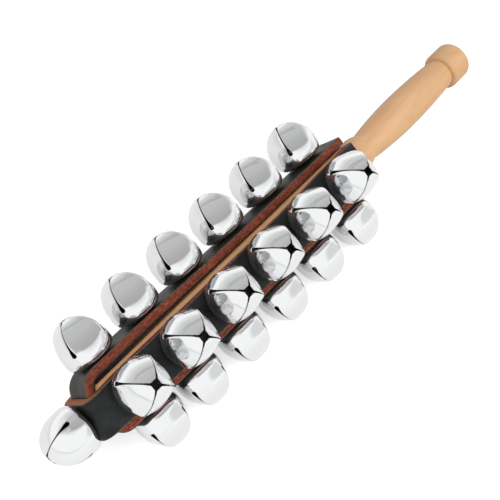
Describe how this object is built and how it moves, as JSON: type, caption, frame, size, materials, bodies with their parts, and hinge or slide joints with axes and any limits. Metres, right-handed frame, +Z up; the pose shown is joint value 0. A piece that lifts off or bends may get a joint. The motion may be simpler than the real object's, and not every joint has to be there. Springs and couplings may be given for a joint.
{
  "type": "bell rattle",
  "caption": "Hand-held stick of jingle bells: turned wooden grip, crossed leather straps on a square core, bells that swivel on rivets and hold loose pellets.",
  "frame": {"origin": "on the table under the middle of the part's box, as it lies on two rows of bells", "axes": "+X along the stick from the tip bell to the knob, +Z up"},
  "size_m": [0.3614, 0.0724, 0.0709],
  "materials": {
    "beech": "sanded, clear satin",
    "black_leather": "black-dyed grain side, raw red-brown edges",
    "bell_plate": "bright plated",
    "pellet_steel": "plain ball",
    "rivet_steel": "plain",
    "burr_brass": "plain",
    "black_tack": "blackened"
  },
  "bodies": {
    "stick": {"wooden_stick": "beech", "inner_strap": "black_leather", "outer_strap": "black_leather", "inner_strap_rivets": "rivet_steel", "outer_strap_rivets": "rivet_steel", "inner_strap_burrs": "burr_brass", "outer_strap_burrs": "burr_brass", "tip_screw": "rivet_steel", "strap_tacks": "black_tack"},
    "tip_bell": {"tip_bell": "bell_plate"},
    "tip_pellet": {"tip_pellet": "pellet_steel"},
    "front_bell_1": {"front_bell_1": "bell_plate"},
    "front_pellet_1": {"front_pellet_1": "pellet_steel"},
    "front_bell_2": {"front_bell_2": "bell_plate"},
    "front_pellet_2": {"front_pellet_2": "pellet_steel"},
    "front_bell_3": {"front_bell_3": "bell_plate"},
    "front_pellet_3": {"front_pellet_3": "pellet_steel"},
    "front_bell_4": {"front_bell_4": "bell_plate"},
    "front_pellet_4": {"front_pellet_4": "pellet_steel"},
    "front_bell_5": {"front_bell_5": "bell_plate"},
    "front_pellet_5": {"front_pellet_5": "pellet_steel"},
    "front_bell_6": {"front_bell_6": "bell_plate"},
    "front_pellet_6": {"front_pellet_6": "pellet_steel"},
    "left_bell_1": {"left_bell_1": "bell_plate"},
    "left_pellet_1": {"left_pellet_1": "pellet_steel"},
    "left_bell_2": {"left_bell_2": "bell_plate"},
    "left_pellet_2": {"left_pellet_2": "pellet_steel"},
    "left_bell_3": {"left_bell_3": "bell_plate"},
    "left_pellet_3": {"left_pellet_3": "pellet_steel"},
    "left_bell_4": {"left_bell_4": "bell_plate"},
    "left_pellet_4": {"left_pellet_4": "pellet_steel"},
    "left_bell_5": {"left_bell_5": "bell_plate"},
    "left_pellet_5": {"left_pellet_5": "pellet_steel"},
    "left_bell_6": {"left_bell_6": "bell_plate"},
    "left_pellet_6": {"left_pellet_6": "pellet_steel"},
    "back_bell_1": {"back_bell_1": "bell_plate"},
    "back_pellet_1": {"back_pellet_1": "pellet_steel"},
    "back_bell_2": {"back_bell_2": "bell_plate"},
    "back_pellet_2": {"back_pellet_2": "pellet_steel"},
    "back_bell_3": {"back_bell_3": "bell_plate"},
    "back_pellet_3": {"back_pellet_3": "pellet_steel"},
    "back_bell_4": {"back_bell_4": "bell_plate"},
    "back_pellet_4": {"back_pellet_4": "pellet_steel"},
    "back_bell_5": {"back_bell_5": "bell_plate"},
    "back_pellet_5": {"back_pellet_5": "pellet_steel"},
    "back_bell_6": {"back_bell_6": "bell_plate"},
    "back_pellet_6": {"back_pellet_6": "pellet_steel"},
    "right_bell_1": {"right_bell_1": "bell_plate"},
    "right_pellet_1": {"right_pellet_1": "pellet_steel"},
    "right_bell_2": {"right_bell_2": "bell_plate"},
    "right_pellet_2": {"right_pellet_2": "pellet_steel"},
    "right_bell_3": {"right_bell_3": "bell_plate"},
    "right_pellet_3": {"right_pellet_3": "pellet_steel"},
    "right_bell_4": {"right_bell_4": "bell_plate"},
    "right_pellet_4": {"right_pellet_4": "pellet_steel"},
    "right_bell_5": {"right_bell_5": "bell_plate"},
    "right_pellet_5": {"right_pellet_5": "pellet_steel"},
    "right_bell_6": {"right_bell_6": "bell_plate"},
    "right_pellet_6": {"right_pellet_6": "pellet_steel"}
  },
  "joints": [
    {"name": "tip_bell_swivel", "type": "hinge", "parent": "stick", "child": "tip_bell", "pos_m": [-0.16589, 0, 0.03475], "axis": [-1, 0, 0], "continuous": true},
    {"name": "tip_pellet_bounce", "type": "slide", "parent": "stick", "child": "tip_pellet", "axis": [0, 0, 1], "range_m": [0, 0.015]},
    {"name": "front_bell_1_swivel", "type": "hinge", "parent": "stick", "child": "front_bell_1", "pos_m": [-0.13024, -0.02097, 0.05572], "axis": [0, -0.7071, 0.7071], "continuous": true},
    {"name": "front_pellet_1_bounce", "type": "slide", "parent": "stick", "child": "front_pellet_1", "axis": [0, 0, 1], "range_m": [0, 0.01466]},
    {"name": "front_bell_2_swivel", "type": "hinge", "parent": "stick", "child": "front_bell_2", "pos_m": [-0.09624, -0.02097, 0.05572], "axis": [0, -0.7071, 0.7071], "continuous": true},
    {"name": "front_pellet_2_bounce", "type": "slide", "parent": "stick", "child": "front_pellet_2", "axis": [0, 0, 1], "range_m": [0, 0.01466]},
    {"name": "front_bell_3_swivel", "type": "hinge", "parent": "stick", "child": "front_bell_3", "pos_m": [-0.06224, -0.02097, 0.05572], "axis": [0, -0.7071, 0.7071], "continuous": true},
    {"name": "front_pellet_3_bounce", "type": "slide", "parent": "stick", "child": "front_pellet_3", "axis": [0, 0, 1], "range_m": [0, 0.01466]},
    {"name": "front_bell_4_swivel", "type": "hinge", "parent": "stick", "child": "front_bell_4", "pos_m": [-0.02824, -0.02097, 0.05572], "axis": [0, -0.7071, 0.7071], "continuous": true},
    {"name": "front_pellet_4_bounce", "type": "slide", "parent": "stick", "child": "front_pellet_4", "axis": [0, 0, 1], "range_m": [0, 0.01466]},
    {"name": "front_bell_5_swivel", "type": "hinge", "parent": "stick", "child": "front_bell_5", "pos_m": [0.00576, -0.02097, 0.05572], "axis": [0, -0.7071, 0.7071], "continuous": true},
    {"name": "front_pellet_5_bounce", "type": "slide", "parent": "stick", "child": "front_pellet_5", "axis": [0, 0, 1], "range_m": [0, 0.01466]},
    {"name": "front_bell_6_swivel", "type": "hinge", "parent": "stick", "child": "front_bell_6", "pos_m": [0.03976, -0.02097, 0.05572], "axis": [0, -0.7071, 0.7071], "continuous": true},
    {"name": "front_pellet_6_bounce", "type": "slide", "parent": "stick", "child": "front_pellet_6", "axis": [0, 0, 1], "range_m": [0, 0.01466]},
    {"name": "left_bell_1_swivel", "type": "hinge", "parent": "stick", "child": "left_bell_1", "pos_m": [-0.13124, 0.02097, 0.05572], "axis": [0, 0.7071, 0.7071], "continuous": true},
    {"name": "left_pellet_1_bounce", "type": "slide", "parent": "stick", "child": "left_pellet_1", "axis": [0, 0, 1], "range_m": [0, 0.01466]},
    {"name": "left_bell_2_swivel", "type": "hinge", "parent": "stick", "child": "left_bell_2", "pos_m": [-0.09724, 0.02097, 0.05572], "axis": [0, 0.7071, 0.7071], "continuous": true},
    {"name": "left_pellet_2_bounce", "type": "slide", "parent": "stick", "child": "left_pellet_2", "axis": [0, 0, 1], "range_m": [0, 0.01466]},
    {"name": "left_bell_3_swivel", "type": "hinge", "parent": "stick", "child": "left_bell_3", "pos_m": [-0.06324, 0.02097, 0.05572], "axis": [0, 0.7071, 0.7071], "continuous": true},
    {"name": "left_pellet_3_bounce", "type": "slide", "parent": "stick", "child": "left_pellet_3", "axis": [0, 0, 1], "range_m": [0, 0.01466]},
    {"name": "left_bell_4_swivel", "type": "hinge", "parent": "stick", "child": "left_bell_4", "pos_m": [-0.02924, 0.02097, 0.05572], "axis": [0, 0.7071, 0.7071], "continuous": true},
    {"name": "left_pellet_4_bounce", "type": "slide", "parent": "stick", "child": "left_pellet_4", "axis": [0, 0, 1], "range_m": [0, 0.01466]},
    {"name": "left_bell_5_swivel", "type": "hinge", "parent": "stick", "child": "left_bell_5", "pos_m": [0.00476, 0.02097, 0.05572], "axis": [0, 0.7071, 0.7071], "continuous": true},
    {"name": "left_pellet_5_bounce", "type": "slide", "parent": "stick", "child": "left_pellet_5", "axis": [0, 0, 1], "range_m": [0, 0.01466]},
    {"name": "left_bell_6_swivel", "type": "hinge", "parent": "stick", "child": "left_bell_6", "pos_m": [0.03876, 0.02097, 0.05572], "axis": [0, 0.7071, 0.7071], "continuous": true},
    {"name": "left_pellet_6_bounce", "type": "slide", "parent": "stick", "child": "left_pellet_6", "axis": [0, 0, 1], "range_m": [0, 0.01466]},
    {"name": "back_bell_1_swivel", "type": "hinge", "parent": "stick", "child": "back_bell_1", "pos_m": [-0.13024, 0.01955, 0.0152], "axis": [0, 0.7071, -0.7071], "continuous": true},
    {"name": "back_pellet_1_bounce", "type": "slide", "parent": "stick", "child": "back_pellet_1", "axis": [0, 0, 1], "range_m": [0, 0.01466]},
    {"name": "back_bell_2_swivel", "type": "hinge", "parent": "stick", "child": "back_bell_2", "pos_m": [-0.09624, 0.01955, 0.0152], "axis": [0, 0.7071, -0.7071], "continuous": true},
    {"name": "back_pellet_2_bounce", "type": "slide", "parent": "stick", "child": "back_pellet_2", "axis": [0, 0, 1], "range_m": [0, 0.01466]},
    {"name": "back_bell_3_swivel", "type": "hinge", "parent": "stick", "child": "back_bell_3", "pos_m": [-0.06224, 0.01955, 0.0152], "axis": [0, 0.7071, -0.7071], "continuous": true},
    {"name": "back_pellet_3_bounce", "type": "slide", "parent": "stick", "child": "back_pellet_3", "axis": [0, 0, 1], "range_m": [0, 0.01466]},
    {"name": "back_bell_4_swivel", "type": "hinge", "parent": "stick", "child": "back_bell_4", "pos_m": [-0.02824, 0.01955, 0.0152], "axis": [0, 0.7071, -0.7071], "continuous": true},
    {"name": "back_pellet_4_bounce", "type": "slide", "parent": "stick", "child": "back_pellet_4", "axis": [0, 0, 1], "range_m": [0, 0.01466]},
    {"name": "back_bell_5_swivel", "type": "hinge", "parent": "stick", "child": "back_bell_5", "pos_m": [0.00576, 0.01955, 0.0152], "axis": [0, 0.7071, -0.7071], "continuous": true},
    {"name": "back_pellet_5_bounce", "type": "slide", "parent": "stick", "child": "back_pellet_5", "axis": [0, 0, 1], "range_m": [0, 0.01466]},
    {"name": "back_bell_6_swivel", "type": "hinge", "parent": "stick", "child": "back_bell_6", "pos_m": [0.03976, 0.01955, 0.0152], "axis": [0, 0.7071, -0.7071], "continuous": true},
    {"name": "back_pellet_6_bounce", "type": "slide", "parent": "stick", "child": "back_pellet_6", "axis": [0, 0, 1], "range_m": [0, 0.01466]},
    {"name": "right_bell_1_swivel", "type": "hinge", "parent": "stick", "child": "right_bell_1", "pos_m": [-0.12484, -0.01955, 0.0152], "axis": [0, -0.7071, -0.7071], "continuous": true},
    {"name": "right_pellet_1_bounce", "type": "slide", "parent": "stick", "child": "right_pellet_1", "axis": [0, 0, 1], "range_m": [0, 0.01466]},
    {"name": "right_bell_2_swivel", "type": "hinge", "parent": "stick", "child": "right_bell_2", "pos_m": [-0.09404, -0.01955, 0.0152], "axis": [0, -0.7071, -0.7071], "continuous": true},
    {"name": "right_pellet_2_bounce", "type": "slide", "parent": "stick", "child": "right_pellet_2", "axis": [0, 0, 1], "range_m": [0, 0.01466]},
    {"name": "right_bell_3_swivel", "type": "hinge", "parent": "stick", "child": "right_bell_3", "pos_m": [-0.06004, -0.01955, 0.0152], "axis": [0, -0.7071, -0.7071], "continuous": true},
    {"name": "right_pellet_3_bounce", "type": "slide", "parent": "stick", "child": "right_pellet_3", "axis": [0, 0, 1], "range_m": [0, 0.01466]},
    {"name": "right_bell_4_swivel", "type": "hinge", "parent": "stick", "child": "right_bell_4", "pos_m": [-0.02604, -0.01955, 0.0152], "axis": [0, -0.7071, -0.7071], "continuous": true},
    {"name": "right_pellet_4_bounce", "type": "slide", "parent": "stick", "child": "right_pellet_4", "axis": [0, 0, 1], "range_m": [0, 0.01466]},
    {"name": "right_bell_5_swivel", "type": "hinge", "parent": "stick", "child": "right_bell_5", "pos_m": [0.00796, -0.01955, 0.0152], "axis": [0, -0.7071, -0.7071], "continuous": true},
    {"name": "right_pellet_5_bounce", "type": "slide", "parent": "stick", "child": "right_pellet_5", "axis": [0, 0, 1], "range_m": [0, 0.01466]},
    {"name": "right_bell_6_swivel", "type": "hinge", "parent": "stick", "child": "right_bell_6", "pos_m": [0.04196, -0.01955, 0.0152], "axis": [0, -0.7071, -0.7071], "continuous": true},
    {"name": "right_pellet_6_bounce", "type": "slide", "parent": "stick", "child": "right_pellet_6", "axis": [0, 0, 1], "range_m": [0, 0.01466]}
  ]
}
